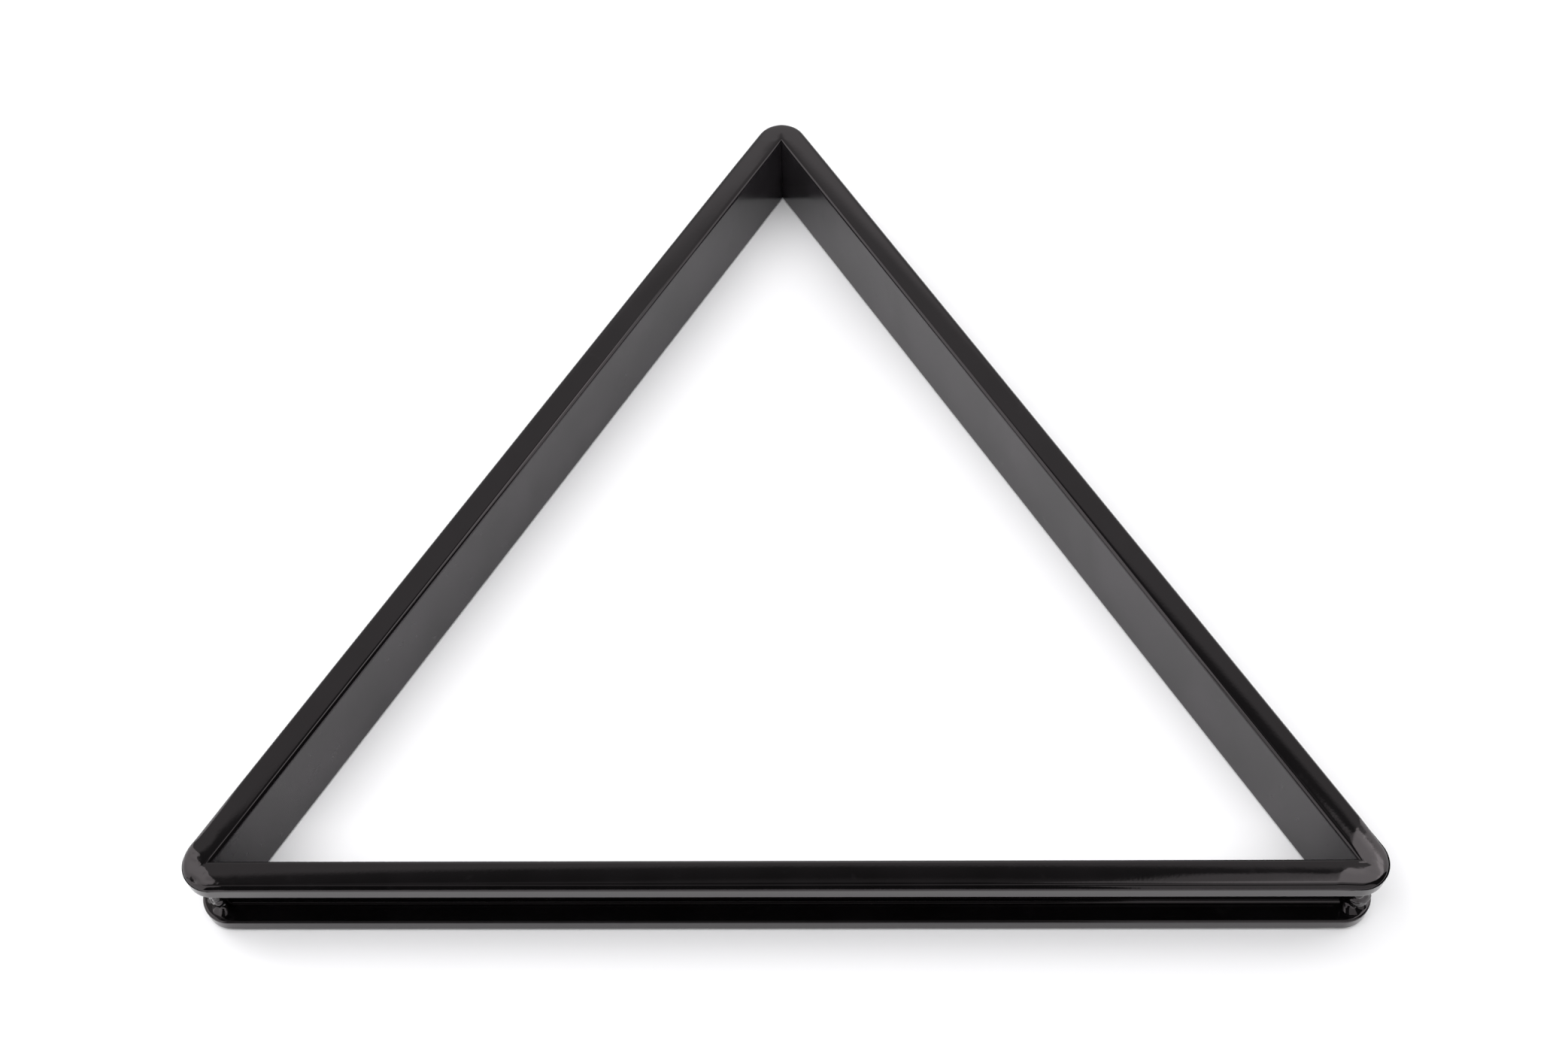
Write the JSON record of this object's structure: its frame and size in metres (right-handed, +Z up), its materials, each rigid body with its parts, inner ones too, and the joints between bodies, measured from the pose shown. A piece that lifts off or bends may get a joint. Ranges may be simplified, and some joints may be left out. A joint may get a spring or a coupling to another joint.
{
  "type": "triangle rack",
  "caption": "Welded triangular frame of channel-section rails that gathers pool balls into a tight triangle; a finger groove runs round its outside.",
  "frame": {"origin": "centre of the footprint, on the surface that the rack lies on", "axes": "+X along the base rail, +Y from the base rail towards the apex, +Z up"},
  "size_m": [0.3468, 0.3028, 0.031],
  "materials": {
    "rail_coat": "high-gloss black coating on aluminium, slight orange peel",
    "dressed_weld_coat": "high-gloss black coating over ground welds, faintly lumpy",
    "groove_weld_coat": "gloss black coating over weld beads left as laid"
  },
  "bodies": {
    "root": {"base_rail": "rail_coat", "left_rail": "rail_coat", "right_rail": "rail_coat", "apex_top_weld": "dressed_weld_coat", "left_top_weld": "dressed_weld_coat", "right_top_weld": "dressed_weld_coat", "apex_bottom_weld": "dressed_weld_coat", "left_bottom_weld": "dressed_weld_coat", "right_bottom_weld": "dressed_weld_coat", "apex_groove_weld": "groove_weld_coat", "left_groove_weld": "groove_weld_coat", "right_groove_weld": "groove_weld_coat"}
  },
  "joints": []
}
